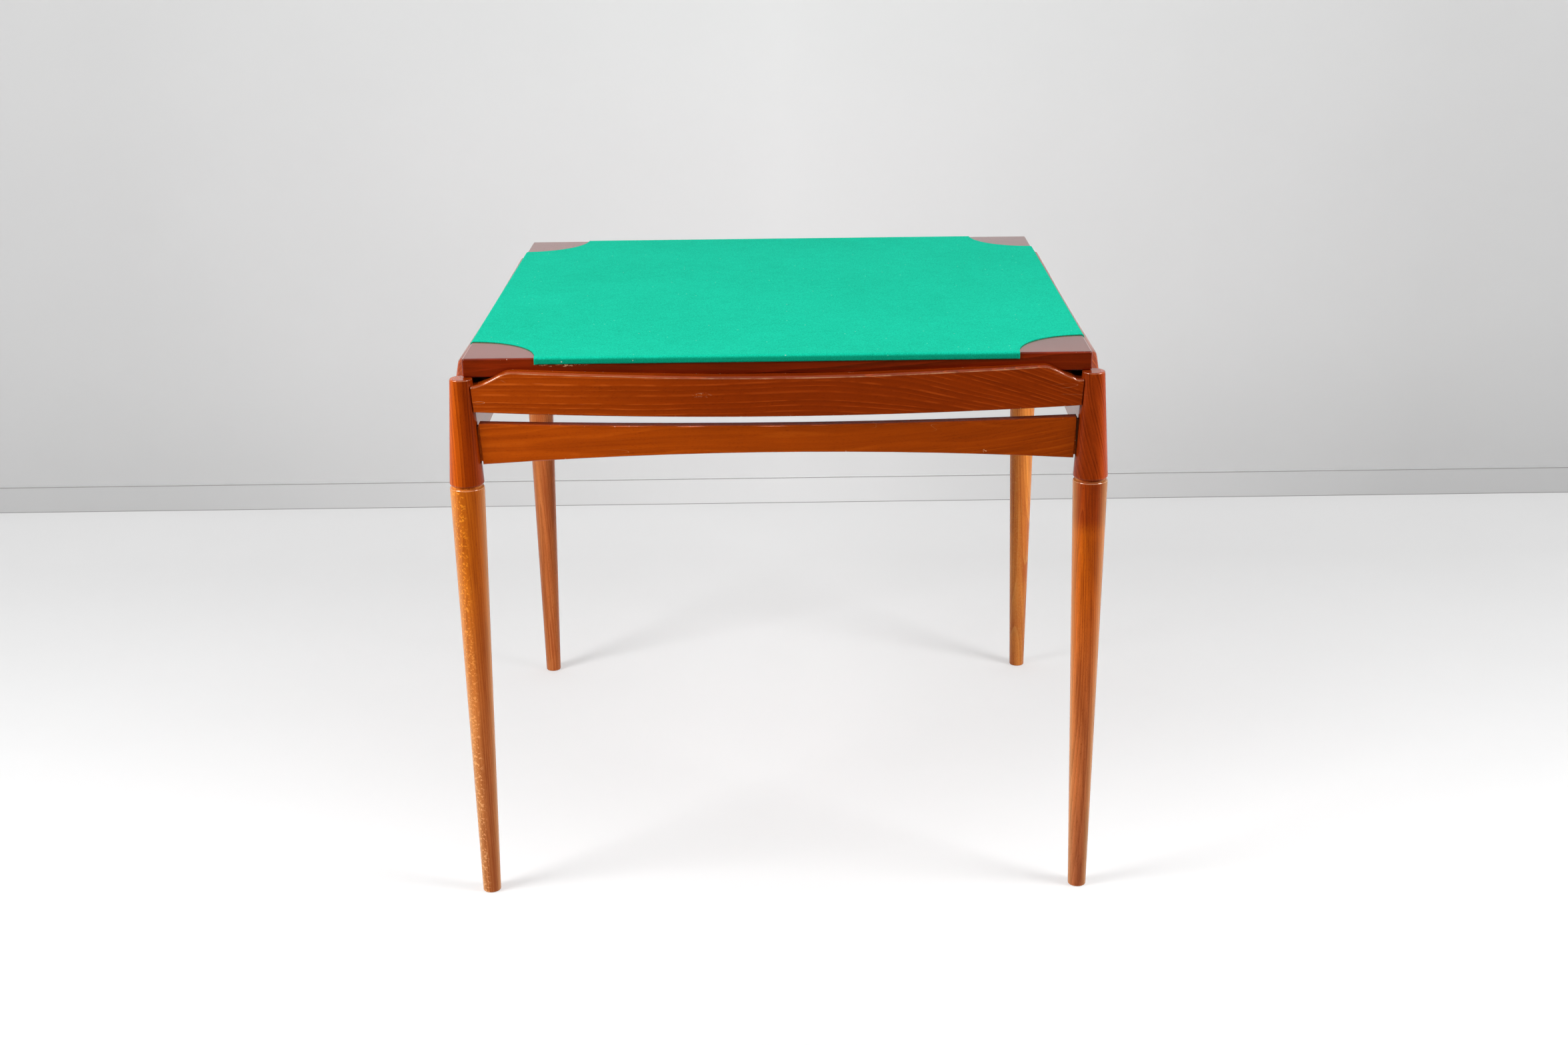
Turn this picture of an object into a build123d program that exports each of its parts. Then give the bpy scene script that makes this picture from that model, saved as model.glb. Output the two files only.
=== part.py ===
"""Square games table: a loose baize-covered board in a frame of shaped rails on four two-part legs.

Millimetres, +Z up. The origin is on the floor under the table's centre, and the front is -Y.
"""
import os
from build123d import *

os.makedirs("parts", exist_ok=True)

# Loose board
BOARD_TOP = 770.0
BOARD_SIDE = 823.0
BOARD_THICKNESS = 25.0
BOARD_EDGE_RADIUS = 2.5
BOARD_CORNER_RADIUS = 3.5
VENEER_THICKNESS = 1.5
LIPPING_WIDTH = 12.0

# Baize glued over the board, cut back in a quarter circle at each corner
CLOTH_THICKNESS = 1.5
CLOTH_TURNDOWN = 8.2
CLOTH_CORNER_RADIUS = 92.0

# Legs: a head that carries the rails and a lower leg that screws up into it
LEG_AXIS_OUTSET = 2.0
HEAD_BELOW_RAILS = 28.5
HEAD_TOP_DIAMETER = 30.0
HEAD_TOP_ROUND = 1.8
HEAD_LOWER_ROUND = 3.0
NECK_DEPTH = 3.25
NECK_HEIGHT = 2.5
LEG_TOP_DIAMETER = 46.5
LEG_TOP_ROUND_SHARE = 0.8
LEG_FOOT_DIAMETER = 25.0
LEG_FOOT_ROUND = 2.0

# Screw joint in each leg
STUD_DIAMETER = 10.0
STUD_EMBED = 45.0
STUD_END_CHAMFER = 0.8
STUD_RUNNING_CLEARANCE = 0.05
STUD_END_CLEARANCE = 0.5
INSERT_WALL = 2.45
INSERT_PAST_STUD = 2.0
INSERT_TO_TENON = 6.5

# Upper rails: places are counted from the leg's axis, the leg head's top and the shoulder
UPPER_THICKNESS = 18.5
UPPER_PROUD = 10.5
UPPER_OUTER_BOW = 6.0
UPPER_END_DROP = 8.8
UPPER_END_HEIGHT = 35.2
UPPER_MIDDLE_RISE = 1.0
UPPER_HORN_RISE = 10.2
UPPER_HORN_SETBACK = 54.5
UPPER_BELLY_SAG = 8.8
UPPER_EDGE_ROUND = 3.5
UPPER_OTHER_EDGE_ROUND = 1.5
UPPER_SHOULDER_GAP = 1.6

# Rebate in the upper rails that fences the board
REBATE_CLEARANCE = 0.8
REBATE_DROP = 0.5

# Lower rails, hung below a slot
SLOT_AT_ENDS = 16.6
LOWER_THICKNESS = 16.0
LOWER_END_HEIGHT = 55.4
LOWER_TOP_DIP = 6.4
LOWER_ARCH_RISE = 12.2
LOWER_EDGE_ROUND = 1.2
LOWER_SHOULDER_GAP = 4.2

# Rail tenons
TENON_THICKNESS = 10.0
TENON_INSET = 4.0
TENON_TO_AXIS = 6.5
TENON_ROOT = 12.0

# Corner blocks glued between the upper rails, counted from the corner where the rails' inner faces would meet
BLOCK_NEAR = 48.0
BLOCK_FAR = 74.0
BLOCK_HEIGHT = 38.0

# Upper rail's top edge: shares of the reach and rise to the horn, then of the run and fall from horn to end
MIDDLE_SHARES = [(0.36, 0.14), (0.69, 0.55), (0.90, 0.86)]
OGEE_SHARES = [(0.13, 0.97), (0.27, 0.81), (0.42, 0.59), (0.58, 0.36), (0.76, 0.14)]

# Places that follow from the sizes above
HALF_BOARD = BOARD_SIDE / 2
BOARD_BOTTOM = BOARD_TOP - BOARD_THICKNESS
CORE_HALF = HALF_BOARD - LIPPING_WIDTH
CORE_TOP = BOARD_TOP - VENEER_THICKNESS
CORE_BOTTOM = BOARD_BOTTOM + VENEER_THICKNESS
LEG_AXIS = HALF_BOARD + LEG_AXIS_OUTSET
UPPER_END_TOP = BOARD_BOTTOM - UPPER_END_DROP
UPPER_END_BOTTOM = UPPER_END_TOP - UPPER_END_HEIGHT
LOWER_END_TOP = UPPER_END_BOTTOM - SLOT_AT_ENDS
LOWER_END_BOTTOM = LOWER_END_TOP - LOWER_END_HEIGHT
HEAD_LOWER_Z = LOWER_END_BOTTOM - HEAD_BELOW_RAILS
HEAD_LOWER_DIAMETER = LEG_TOP_DIAMETER
NECK_DIAMETER = LEG_TOP_DIAMETER - 2 * NECK_DEPTH
LEG_TOP_ROUND = LEG_TOP_ROUND_SHARE * NECK_DEPTH
LEG_SHOULDER_Z = HEAD_LOWER_Z - NECK_HEIGHT
BORE_DIAMETER = STUD_DIAMETER + 2 * STUD_RUNNING_CLEARANCE
STUD_BOTTOM = HEAD_LOWER_Z - STUD_EMBED
INSERT_TOP = LOWER_END_BOTTOM + TENON_INSET - INSERT_TO_TENON
STUD_TOP = INSERT_TOP - INSERT_PAST_STUD
INSERT_DIAMETER = BORE_DIAMETER + 2 * INSERT_WALL
UPPER_OUTER_FACE = LEG_AXIS + UPPER_PROUD
UPPER_INNER_FACE = UPPER_OUTER_FACE - UPPER_THICKNESS
UPPER_MIDDLE_TOP = BOARD_BOTTOM + UPPER_MIDDLE_RISE
UPPER_HORN_TOP = BOARD_BOTTOM + UPPER_HORN_RISE
REACH = HALF_BOARD + BOARD_THICKNESS
NEAR = 0.01
LEVEL = (1, 0)

CORNERS = {
    "front_left": (-LEG_AXIS, -LEG_AXIS),
    "front_right": (LEG_AXIS, -LEG_AXIS),
    "back_left": (-LEG_AXIS, LEG_AXIS),
    "back_right": (LEG_AXIS, LEG_AXIS),
}
SIDE_TURNS = {"front": 0, "right": 90, "back": 180, "left": 270}
BLOCK_TURNS = {"front_left": 0, "front_right": 90, "back_right": 180, "back_left": 270}


def block(x_low, x_high, y_low, y_high, z_low, z_high):
    """A box from its six faces."""
    centre = Location(((x_low + x_high) / 2, (y_low + y_high) / 2, (z_low + z_high) / 2))
    return centre * Box(x_high - x_low, y_high - y_low, z_high - z_low)


def save(name, solid):
    """Writes one piece."""
    solid.label = name
    export_step(solid, "parts/" + name + ".step")


# Board: one rounded blank is divided into core, lippings and veneers
def rounded_board(grow, drop):
    """The board's outer shape, grown sideways and upwards, down to drop below its top."""
    half = BOARD_SIDE / 2 + grow
    top = BOARD_TOP + grow
    blank = block(-half, half, -half, half, top - drop, top)
    blank = fillet(blank.edges().filter_by(Axis.Z), BOARD_CORNER_RADIUS + grow)
    return blank


board_blank = rounded_board(0, BOARD_THICKNESS)
rim_edges = board_blank.edges().filter_by(Plane.XY)
board_blank = fillet(rim_edges, BOARD_EDGE_RADIUS)

board_core = block(-CORE_HALF, CORE_HALF, -CORE_HALF, CORE_HALF, CORE_BOTTOM, CORE_TOP)
save("board_core", board_core)
save("veneer_playing_side", board_blank & block(-REACH, REACH, -REACH, REACH, CORE_TOP, BOARD_TOP))
save("veneer_reverse_side", board_blank & block(-REACH, REACH, -REACH, REACH, BOARD_BOTTOM, CORE_BOTTOM))

mitre_outline = Polyline(
    (-REACH, -REACH),
    (REACH, -REACH),
    (CORE_HALF, -CORE_HALF),
    (-CORE_HALF, -CORE_HALF),
    close=True,
)
mitre_sector = extrude(Plane.XY.offset(CORE_BOTTOM) * make_face(mitre_outline), CORE_TOP - CORE_BOTTOM)
front_lipping = board_blank & mitre_sector
for side, turn in SIDE_TURNS.items():
    save("lipping_" + side, Rot(0, 0, turn) * front_lipping)

# Baize: a grown blank less the board, open at the corners
cloth_blank = rounded_board(CLOTH_THICKNESS, CLOTH_TURNDOWN + CLOTH_THICKNESS)
cloth_top_edges = cloth_blank.faces().sort_by(Axis.Z)[-1].edges()
cloth_blank = fillet(cloth_top_edges, BOARD_EDGE_RADIUS + CLOTH_THICKNESS)
playing_cloth = cloth_blank - board_blank
for x_sign in (-1, 1):
    for y_sign in (-1, 1):
        corner = Location((x_sign * HALF_BOARD, y_sign * HALF_BOARD, BOARD_TOP))
        playing_cloth = playing_cloth - corner * Cylinder(CLOTH_CORNER_RADIUS, BOARD_THICKNESS * 2)
save("playing_cloth", playing_cloth)


# Rails
def mirrored(points):
    """A left-to-right list from the points of the right half, the first of them on the centre line."""
    return [(-x, z) for x, z in reversed(points[1:])] + points


def head_radius(z):
    """Radius of the leg head's cone at a height."""
    share = (BOARD_BOTTOM - z) / (BOARD_BOTTOM - HEAD_LOWER_Z)
    return (HEAD_TOP_DIAMETER + share * (HEAD_LOWER_DIAMETER - HEAD_TOP_DIAMETER)) / 2


def shoulder_reach(z, offset, gap):
    """How far along X a shoulder stands off the cone by a gap, at an offset from the leg's axis."""
    return LEG_AXIS - (head_radius(z) ** 2 - offset ** 2) ** 0.5 - gap


def upper_top_edges(end_reach):
    """An upper rail's top edge: an ogee, the dished middle and an ogee, level where they meet."""
    horn_reach = end_reach - UPPER_HORN_SETBACK
    rise = UPPER_HORN_TOP - UPPER_MIDDLE_TOP
    fall = UPPER_HORN_TOP - UPPER_END_TOP
    middle = [(0, UPPER_MIDDLE_TOP)]
    for reach_share, height_share in MIDDLE_SHARES:
        middle.append((reach_share * horn_reach, UPPER_MIDDLE_TOP + height_share * rise))
    middle.append((horn_reach, UPPER_HORN_TOP))
    ogee = [(horn_reach, UPPER_HORN_TOP)]
    for reach_share, height_share in OGEE_SHARES:
        ogee.append((horn_reach + reach_share * UPPER_HORN_SETBACK, UPPER_END_TOP + height_share * fall))
    ogee.append((end_reach, UPPER_END_TOP))
    other_ogee = [(-x, z) for x, z in reversed(ogee)]
    return [
        Spline(*other_ogee, tangents=(LEVEL, LEVEL)),
        Spline(*mirrored(middle), tangents=(LEVEL, LEVEL)),
        Spline(*ogee, tangents=(LEVEL, LEVEL)),
    ]


def elevation_prism(edges, y_low, y_high):
    """Extrudes a closed outline in the XZ plane between two Y values."""
    face = make_face(edges)
    return extrude(Plane.XZ.offset(-y_high) * face, y_high - y_low)


def tenons(z_low, z_high, shoulder):
    """The tenons at both ends of a rail, each rooted a little way inside its shoulder."""
    reach = LEG_AXIS - TENON_TO_AXIS
    root = shoulder - TENON_ROOT
    half = TENON_THICKNESS / 2
    low = z_low + TENON_INSET
    high = z_high - TENON_INSET
    right = block(root, reach, -LEG_AXIS - half, -LEG_AXIS + half, low, high)
    left = block(-reach, -root, -LEG_AXIS - half, -LEG_AXIS + half, low, high)
    return [left, right]


def outer_edges(rail):
    """Edges of a front rail that lie outside its tenons."""
    limit = -LEG_AXIS - TENON_THICKNESS / 2
    return [edge for edge in rail.edges() if edge.center().Y < limit]


def is_end_edge(edge):
    """Whether an edge runs up a rail's shoulder."""
    size = edge.bounding_box().size
    return size.Z > size.X and size.Z > size.Y


def round_outer_edges(rail, upper_radius, other_radius):
    """Rounds a front rail's outer arrises: the upper ones, then those below and at its ends together."""
    middle_z = rail.center(CenterOf.BOUNDING_BOX).Z
    upper_edges = [edge for edge in outer_edges(rail) if edge.center().Z > middle_z and not is_end_edge(edge)]
    rail = fillet(upper_edges, upper_radius)
    other_edges = [edge for edge in outer_edges(rail) if edge.center().Z < middle_z or is_end_edge(edge)]
    return fillet(other_edges, other_radius)


def rail_outline(top_edges, top_end, low_end, middle_z):
    """Closes a rail's elevation under its top edges, with an arc through middle_z below."""
    top_x, top_z = top_end
    low_x, low_z = low_end
    return top_edges + [
        Line((top_x, top_z), (low_x, low_z)),
        ThreePointArc((low_x, low_z), (0, middle_z), (-low_x, low_z)),
        Line((-low_x, low_z), (-top_x, top_z)),
    ]


def upper_rail():
    """The front upper rail, bowed in plan and rebated for the board."""
    top_reach = shoulder_reach(UPPER_END_TOP, UPPER_PROUD, UPPER_SHOULDER_GAP)
    low_reach = shoulder_reach(UPPER_END_BOTTOM, UPPER_PROUD, UPPER_SHOULDER_GAP)
    outline = rail_outline(
        upper_top_edges(top_reach),
        (top_reach, UPPER_END_TOP),
        (low_reach, UPPER_END_BOTTOM),
        UPPER_END_BOTTOM - UPPER_BELLY_SAG,
    )
    deepest = UPPER_OUTER_FACE + UPPER_OUTER_BOW
    rail = elevation_prism(outline, -deepest - UPPER_THICKNESS, -UPPER_INNER_FACE)
    plan = [
        ThreePointArc((-LEG_AXIS, -UPPER_OUTER_FACE), (0, -deepest), (LEG_AXIS, -UPPER_OUTER_FACE)),
        Line((LEG_AXIS, -UPPER_OUTER_FACE), (LEG_AXIS, -UPPER_INNER_FACE)),
        Line((LEG_AXIS, -UPPER_INNER_FACE), (-LEG_AXIS, -UPPER_INNER_FACE)),
        Line((-LEG_AXIS, -UPPER_INNER_FACE), (-LEG_AXIS, -UPPER_OUTER_FACE)),
    ]
    rail = rail & extrude(Plane.XY * make_face(plan), BOARD_TOP)
    rail = round_outer_edges(rail, UPPER_EDGE_ROUND, UPPER_OTHER_EDGE_ROUND)
    rebate_face = HALF_BOARD + REBATE_CLEARANCE
    rebate = block(-REACH, REACH, -rebate_face, -CORE_HALF, BOARD_BOTTOM - REBATE_DROP, BOARD_TOP)
    return rail - rebate + tenons(UPPER_END_BOTTOM, UPPER_END_TOP, low_reach)


def lower_rail():
    """The front lower rail, straight in plan and arched below."""
    half = LOWER_THICKNESS / 2
    top_reach = shoulder_reach(LOWER_END_TOP, half, LOWER_SHOULDER_GAP)
    low_reach = shoulder_reach(LOWER_END_BOTTOM, half, LOWER_SHOULDER_GAP)
    top_edge = ThreePointArc(
        (-top_reach, LOWER_END_TOP),
        (0, LOWER_END_TOP - LOWER_TOP_DIP),
        (top_reach, LOWER_END_TOP),
    )
    outline = rail_outline(
        [top_edge],
        (top_reach, LOWER_END_TOP),
        (low_reach, LOWER_END_BOTTOM),
        LOWER_END_BOTTOM + LOWER_ARCH_RISE,
    )
    rail = elevation_prism(outline, -LEG_AXIS - half, -LEG_AXIS + half)
    rail = fillet(outer_edges(rail), LOWER_EDGE_ROUND)
    return rail + tenons(LOWER_END_BOTTOM, LOWER_END_TOP, low_reach)


front_upper = upper_rail()
front_lower = lower_rail()
rails = []
for side, turn in SIDE_TURNS.items():
    for name, front_rail in (("upper_rail_", front_upper), ("lower_rail_", front_lower)):
        rail = Rot(0, 0, turn) * front_rail
        rails.append(rail)
        save(name + side, rail)


def corner_block():
    """The front left corner block, a bar set across the corner under the board."""
    near = UPPER_INNER_FACE - BLOCK_NEAR
    far = UPPER_INNER_FACE - BLOCK_FAR
    outline = Polyline(
        (-near, -UPPER_INNER_FACE),
        (-far, -UPPER_INNER_FACE),
        (-UPPER_INNER_FACE, -far),
        (-UPPER_INNER_FACE, -near),
        close=True,
    )
    bottom = BOARD_BOTTOM - REBATE_DROP - BLOCK_HEIGHT
    return extrude(Plane.XY.offset(bottom) * make_face(outline), BLOCK_HEIGHT)


front_left_block = corner_block()
for corner_name, turn in BLOCK_TURNS.items():
    save("corner_block_" + corner_name, Rot(0, 0, turn) * front_left_block)


# Legs, turned about their own axis and then set at the corners
def turned(profile, rounds):
    """A solid of revolution from an (r, z) outline, with rounds given as {z: radius} on its outer rims."""
    solid = revolve(Plane.XZ * make_face(Polyline(*profile, close=True)), Axis.Z)
    for z, radius in rounds.items():
        rims = [edge for edge in solid.edges().filter_by(GeomType.CIRCLE) if abs(edge.center().Z - z) < NEAR]
        outer_rim = max(rims, key=lambda edge: edge.radius)
        solid = fillet(outer_rim, radius)
    return solid


def round_bar(diameter, z_low, z_high):
    """An upright round bar on the leg's axis."""
    return Location((0, 0, (z_low + z_high) / 2)) * Cylinder(diameter / 2, z_high - z_low)


head = turned(
    [
        (0, HEAD_LOWER_Z),
        (HEAD_LOWER_DIAMETER / 2, HEAD_LOWER_Z),
        (HEAD_TOP_DIAMETER / 2, BOARD_BOTTOM),
        (0, BOARD_BOTTOM),
    ],
    {BOARD_BOTTOM: HEAD_TOP_ROUND, HEAD_LOWER_Z: HEAD_LOWER_ROUND},
)
head = head - round_bar(INSERT_DIAMETER, HEAD_LOWER_Z, INSERT_TOP)

lower_leg = turned(
    [
        (0, 0),
        (LEG_FOOT_DIAMETER / 2, 0),
        (LEG_TOP_DIAMETER / 2, LEG_SHOULDER_Z),
        (NECK_DIAMETER / 2, LEG_SHOULDER_Z),
        (NECK_DIAMETER / 2, HEAD_LOWER_Z),
        (0, HEAD_LOWER_Z),
    ],
    {LEG_SHOULDER_Z: LEG_TOP_ROUND, 0: LEG_FOOT_ROUND},
)
lower_leg = lower_leg - round_bar(BORE_DIAMETER, STUD_BOTTOM - STUD_END_CLEARANCE, HEAD_LOWER_Z)

stud = round_bar(STUD_DIAMETER, STUD_BOTTOM, STUD_TOP)
stud = chamfer(stud.edges().filter_by(GeomType.CIRCLE), STUD_END_CHAMFER)

insert = round_bar(INSERT_DIAMETER, HEAD_LOWER_Z, INSERT_TOP)
insert = insert - round_bar(BORE_DIAMETER, HEAD_LOWER_Z, INSERT_TOP)

for corner_name, (x, y) in CORNERS.items():
    place = Location((x, y, 0))
    corner_head = place * head
    for rail in rails:
        corner_head = corner_head - rail
    save("leg_head_" + corner_name, corner_head)
    save("leg_" + corner_name, place * lower_leg)
    save("leg_stud_" + corner_name, place * stud)
    save("leg_insert_" + corner_name, place * insert)
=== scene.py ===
# %% [markdown]
# # A square games table
# The table is a loose board, covered on one side with green baize, that rests in a frame of lacquered
# rails on four turned legs. The solids come from the CAD pack and stay exactly where they are. This
# script adds the looks: the baize, the thread on the leg screws, the wood and metal finishes, and a
# plain studio.

import math

import bmesh
import bpy
from mathutils import Matrix, Vector


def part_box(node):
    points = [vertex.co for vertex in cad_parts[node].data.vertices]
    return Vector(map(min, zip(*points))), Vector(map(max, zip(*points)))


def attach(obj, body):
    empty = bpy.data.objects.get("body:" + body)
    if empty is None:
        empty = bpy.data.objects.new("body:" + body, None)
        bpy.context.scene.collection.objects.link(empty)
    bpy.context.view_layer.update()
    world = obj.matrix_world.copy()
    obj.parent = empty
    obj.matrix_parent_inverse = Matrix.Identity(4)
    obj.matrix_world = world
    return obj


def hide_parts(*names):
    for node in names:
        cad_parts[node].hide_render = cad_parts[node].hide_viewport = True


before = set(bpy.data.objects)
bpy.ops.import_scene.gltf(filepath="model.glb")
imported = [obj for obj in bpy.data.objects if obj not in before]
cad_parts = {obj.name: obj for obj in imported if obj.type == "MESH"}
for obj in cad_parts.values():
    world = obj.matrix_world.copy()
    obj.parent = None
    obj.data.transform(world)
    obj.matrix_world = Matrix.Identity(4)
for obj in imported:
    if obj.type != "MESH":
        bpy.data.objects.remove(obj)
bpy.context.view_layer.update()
MM = 0.001
CORNERS = ("front_left", "front_right", "back_left", "back_right")
SIDES = ("front", "right", "back", "left")
print("CAD nodes", len(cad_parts))

# %% [markdown]
# ## Camera
# The photograph was taken from standing height, a little to the right of the table's middle, looking
# down. A camera can be aimed with a constraint, but a matrix built from three turns states the same
# thing once and leaves nothing live in the scene. The turns were found by matching the table's corners.

# %% Place the camera
CAMERA_PLACE = Vector((0.0224, -3.0934, 1.4198))
CAMERA_TURN_LEFT = 0.0059
CAMERA_TILT_DOWN = 0.3168
CAMERA_ROLL = 0.0134
CAMERA_LENS = 48.47

camera_data = bpy.data.cameras.new("camera")
camera_data.lens = CAMERA_LENS
camera_data.sensor_width = 36.0
camera_data.clip_end = 60.0
camera = bpy.data.objects.new("camera", camera_data)
bpy.context.scene.collection.objects.link(camera)

upright = Matrix.Rotation(math.radians(90), 4, "X")
turn_left = Matrix.Rotation(CAMERA_TURN_LEFT, 4, "Z")
tilt_down = Matrix.Rotation(-CAMERA_TILT_DOWN, 4, "X")
roll = Matrix.Rotation(-CAMERA_ROLL, 4, "Z")
camera.matrix_world = Matrix.Translation(CAMERA_PLACE) @ turn_left @ upright @ tilt_down @ roll
bpy.context.scene.camera = camera
bpy.context.scene.view_settings.view_transform = "Standard"
print("camera at", [round(v, 3) for v in CAMERA_PLACE])

# %% [markdown]
# ## Mesh helpers
# Every new piece starts as a bmesh, is finished there, and becomes an object at the origin with its
# place in its mesh, as the CAD nodes have it. That keeps patterns on Object coordinates still.

# %% Turn a bmesh into an object
def make_object(name, mesh_work):
    """Writes a bmesh into a new smooth-shaded object at the origin."""
    mesh = bpy.data.meshes.new(name)
    bmesh.ops.recalc_face_normals(mesh_work, faces=mesh_work.faces)
    mesh_work.to_mesh(mesh)
    mesh_work.free()
    for polygon in mesh.polygons:
        polygon.use_smooth = True
    piece = bpy.data.objects.new(name, mesh)
    bpy.context.scene.collection.objects.link(piece)
    print(name, "faces", len(mesh.polygons))
    return piece


# %% [markdown]
# ## Node helpers
# Materials here are long chains of small sums. A few helpers keep them readable: each adds one node
# with its settings and inputs and hands back its result. A group is made once and then placed in each
# material.

# %% Node helpers
def add_node(tree, kind, inputs=None, **settings):
    """Adds a node, sets its properties, and sets or links its inputs."""
    node = tree.nodes.new(kind)
    for name, value in settings.items():
        setattr(node, name, value)
    for name, value in (inputs or {}).items():
        if isinstance(value, bpy.types.NodeSocket):
            tree.links.new(value, node.inputs[name])
        else:
            node.inputs[name].default_value = value
    return node


def sum_of(tree, operation, first, second=0.0, third=0.0):
    """A Math node's result."""
    node = tree.nodes.new("ShaderNodeMath")
    node.operation = operation
    for socket, value in zip(node.inputs, (first, second, third)):
        if isinstance(value, bpy.types.NodeSocket):
            tree.links.new(value, socket)
        else:
            socket.default_value = value
    return node.outputs[0]


def blend_colours(tree, share, first, second, how="MIX"):
    """Two colours blended by a share."""
    node = tree.nodes.new("ShaderNodeMix")
    node.data_type = "RGBA"
    node.blend_type = how
    node.clamp_factor = True
    for socket, value in ((node.inputs[0], share), (node.inputs[6], first), (node.inputs[7], second)):
        if isinstance(value, bpy.types.NodeSocket):
            tree.links.new(value, socket)
        else:
            socket.default_value = value
    return node.outputs[2]


def vector_sum(tree, operation, first, second):
    """A Vector Math node's result."""
    return add_node(tree, "ShaderNodeVectorMath", {0: first, 1: second}, operation=operation).outputs[0]


def scaled(tree, vector, scale):
    """A vector stretched by three factors."""
    return vector_sum(tree, "MULTIPLY", vector, scale)


def part_of(tree, vector, axis):
    """A vector's part along one axis."""
    return add_node(tree, "ShaderNodeSeparateXYZ", {0: vector}).outputs[axis]


def noise(tree, vector, scale=1.0, detail=2.0, roughness=0.5, distortion=0.0):
    """A noise texture's value."""
    values = {"Vector": vector, "Scale": scale, "Detail": detail, "Roughness": roughness,
              "Distortion": distortion}
    return add_node(tree, "ShaderNodeTexNoise", values).outputs["Fac"]


def ramp(tree, value, low, high, low_result=0.0, high_result=1.0, curve="SMOOTHSTEP"):
    """A value mapped from one range to another, smoothly and clamped."""
    values = {"Value": value, "From Min": low, "From Max": high,
              "To Min": low_result, "To Max": high_result}
    return add_node(tree, "ShaderNodeMapRange", values, interpolation_type=curve).outputs["Result"]


def new_material(name):
    """A material with its node tree and its main shader."""
    material = bpy.data.materials.new(name)
    material.use_nodes = True
    return material, material.node_tree, material.node_tree.nodes["Principled BSDF"]


def new_group(name, inputs, outputs):
    """An empty shader node group with named inputs and outputs."""
    tree = bpy.data.node_groups.new(name, "ShaderNodeTree")
    sockets = tree.interface
    for socket_name, kind, value in inputs:
        socket = sockets.new_socket(name=socket_name, in_out="INPUT", socket_type="NodeSocket" + kind)
        if value is not None:
            socket.default_value = value
    for socket_name, kind in outputs:
        sockets.new_socket(name=socket_name, in_out="OUTPUT", socket_type="NodeSocket" + kind)
    entry = tree.nodes.new("NodeGroupInput")
    result = tree.nodes.new("NodeGroupOutput")
    return tree, entry.outputs, result.inputs


print("node helpers ready")

# %% [markdown]
# ## Timber
# Turned and sawn wood shows the tree's rings where the tool cut through them. Rings are nested tubes
# round the pith, so the pattern is the distance from a slightly tilted line: on a turned leg that gives
# nested arches, and on a rail long flowing lines. Painted stripes would not meet at the corners, but a
# solid pattern does. A pale line marks where each year's wood begins, and fine fibres, short ray flecks
# and slow patches of stain lie over the rings. The grain runs along the group's own X, and each material
# turns it onto its piece with a Mapping node. Bow bends it from Bow Start on, where a board's lines
# sweep.

# %% Timber group
timber, given, result = new_group(
    "timber",
    [
        ("Vector", "Vector", None),
        ("Light Wood", "Color", (0.5, 0.1, 0.01, 1.0)),
        ("Dark Wood", "Color", (0.2, 0.03, 0.003, 1.0)),
        ("Pale Wood", "Color", (0.7, 0.2, 0.03, 1.0)),
        ("Ring Spacing", "Float", 0.006),
        ("Ring Strength", "Float", 0.5),
        ("Line Strength", "Float", 0.3),
        ("Bow", "Float", 0.0),
        ("Bow Start", "Float", 0.0),
        ("Wander", "Float", 0.01),
        ("Fibre Strength", "Float", 0.3),
        ("Pore Strength", "Float", 0.2),
        ("Ray Strength", "Float", 0.0),
        ("Stain Strength", "Float", 0.3),
    ],
    [("Color", "Color"), ("Roughness Change", "Float"), ("Height", "Float")],
)
grain = given["Vector"]
straight = add_node(timber, "ShaderNodeSeparateXYZ", {0: grain}).outputs
past_start = sum_of(timber, "MAXIMUM", sum_of(timber, "SUBTRACT", straight["X"], given["Bow Start"]), 0.0)
past_squared = sum_of(timber, "POWER", past_start, 2.0)
bowed = sum_of(timber, "MULTIPLY_ADD", past_squared, given["Bow"], straight["Z"])
bent = add_node(timber, "ShaderNodeCombineXYZ", {0: straight["X"], 1: straight["Y"], 2: bowed}).outputs[0]
sway_place = scaled(timber, grain, (2.6, 9.0, 9.0))
sway = add_node(timber, "ShaderNodeTexNoise", {"Vector": sway_place, "Scale": 1.0, "Detail": 2.5})
centred = vector_sum(timber, "SUBTRACT", sway.outputs["Color"], (0.5, 0.5, 0.5))
push = add_node(timber, "ShaderNodeVectorMath", {0: centred, "Scale": given["Wander"]}, operation="SCALE")
swayed = vector_sum(timber, "ADD", bent, push.outputs[0])
parts = add_node(timber, "ShaderNodeSeparateXYZ", {0: swayed})
across = sum_of(timber, "POWER", parts.outputs["Y"], 2.0)
upward = sum_of(timber, "POWER", parts.outputs["Z"], 2.0)
distance = sum_of(timber, "SQRT", sum_of(timber, "ADD", across, upward))
turns = sum_of(timber, "DIVIDE", distance, given["Ring Spacing"])
uneven = noise(timber, add_node(timber, "ShaderNodeCombineXYZ", {0: turns}).outputs[0], 0.45, 1.0, 0.5)
turns = sum_of(timber, "MULTIPLY_ADD", uneven, 1.6, turns)
ring_index = sum_of(timber, "FLOOR", turns)
ring_place = sum_of(timber, "FRACT", turns)
late_rise = ramp(timber, ring_place, 0.10, 0.90)
late_fall = ramp(timber, ring_place, 0.88, 0.96, 1.0, 0.0)
late_wood = sum_of(timber, "MULTIPLY", late_rise, late_fall)
ring_noise = add_node(timber, "ShaderNodeTexWhiteNoise", {"W": ring_index}, noise_dimensions="1D")
ring_weight = ramp(timber, ring_noise.outputs["Value"], 0.0, 1.0, 0.35, 1.0, "LINEAR")
rings = sum_of(timber, "MULTIPLY", late_wood, ring_weight)
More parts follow.
